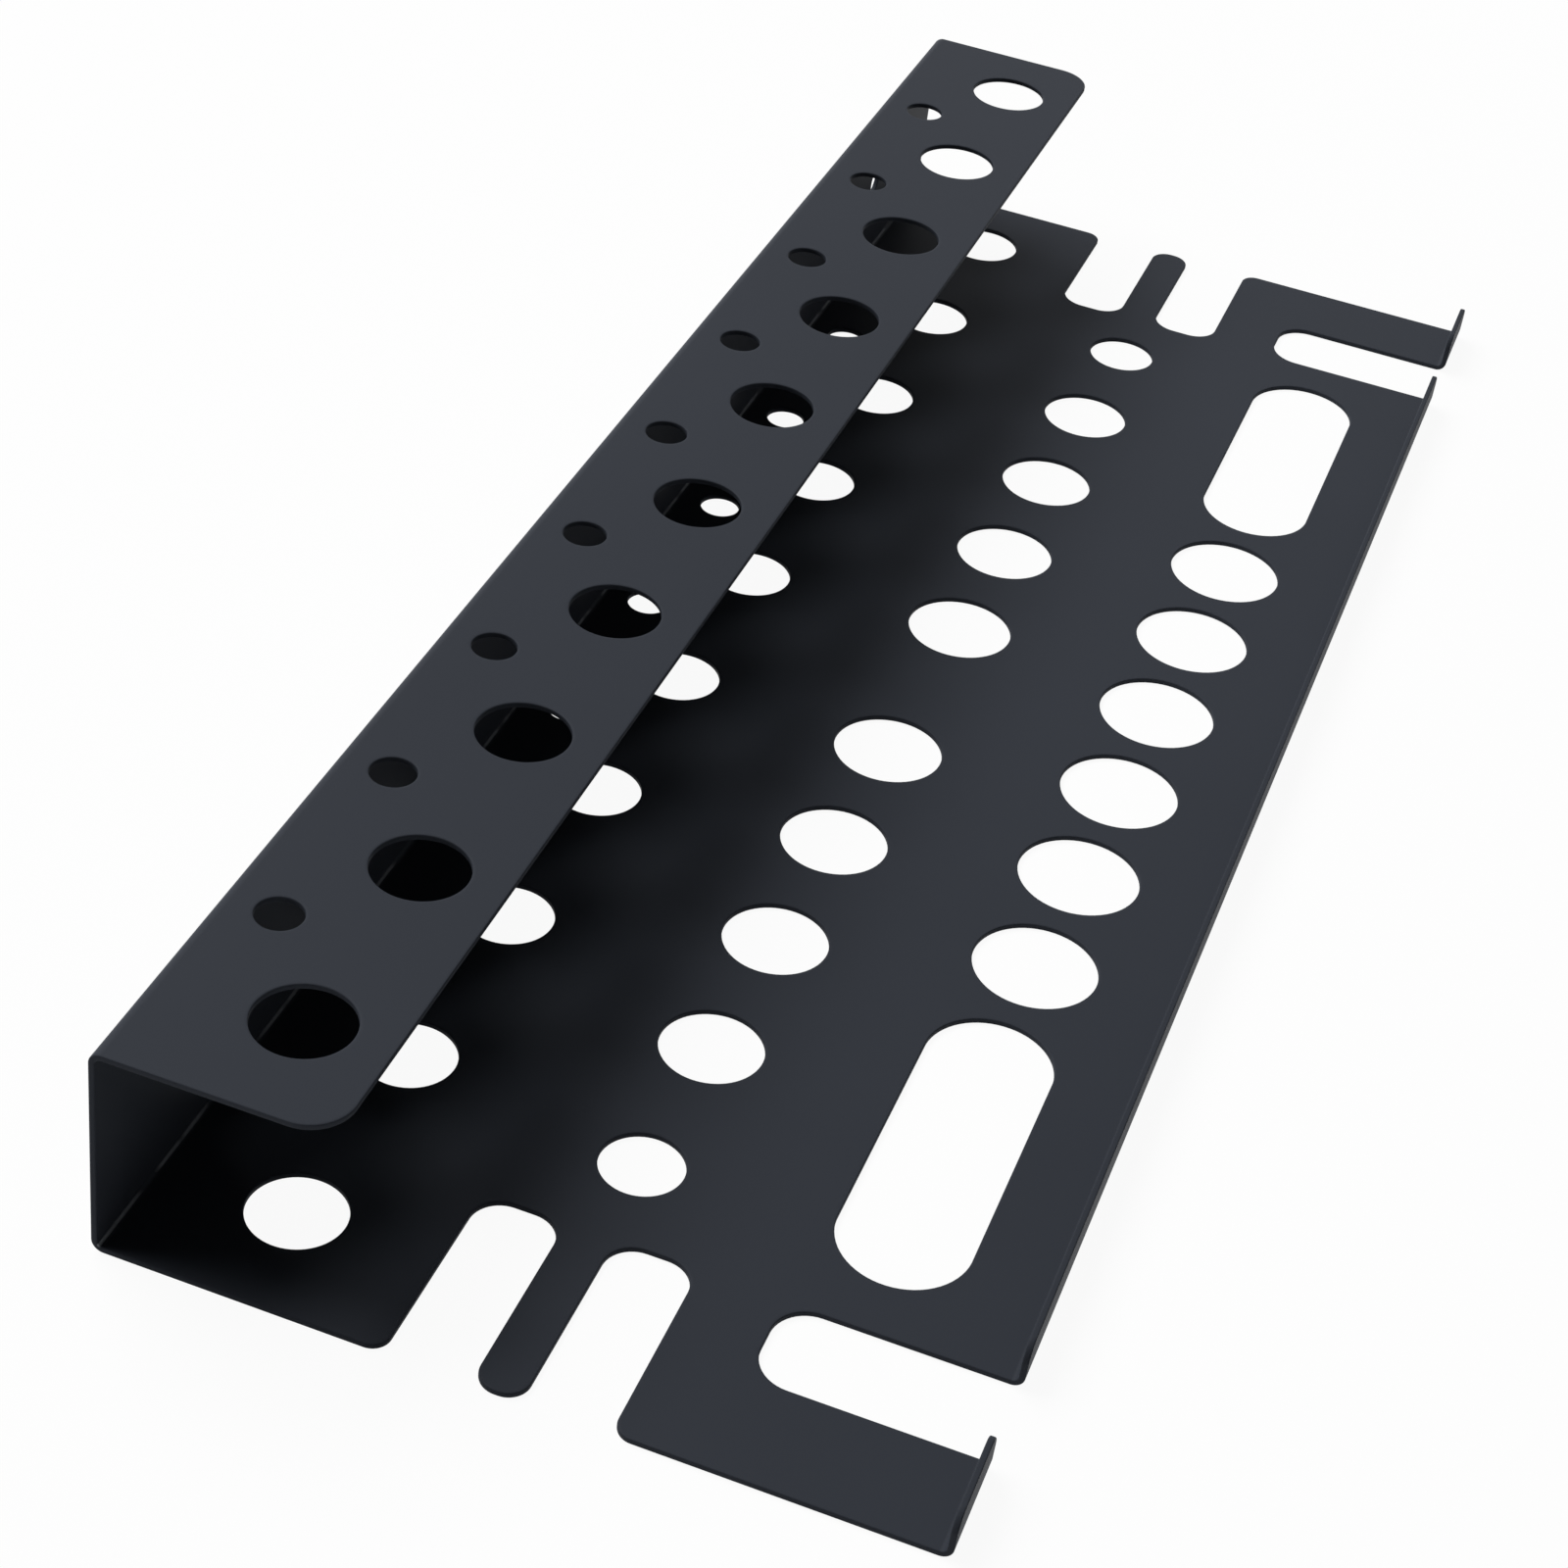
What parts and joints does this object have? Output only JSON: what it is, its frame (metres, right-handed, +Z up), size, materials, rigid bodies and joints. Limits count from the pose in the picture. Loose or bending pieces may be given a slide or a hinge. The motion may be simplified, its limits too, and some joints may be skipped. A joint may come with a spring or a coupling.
{
  "type": "screwdriver rack",
  "caption": "Black folded-steel wall rack for screwdrivers: a punched shelf with a narrow punched flange above it, open slots in its ends and front, and a low front lip.",
  "frame": {"origin": "middle of the underside, halfway between the wall face and the front face of the lip", "axes": "+X along the rack, +Y towards the wall, +Z up"},
  "size_m": [0.38, 0.13, 0.038],
  "materials": {
    "powder_coat": "black powder coat, satin"
  },
  "bodies": {
    "root": {"rack_sheet": "powder_coat"}
  },
  "joints": []
}
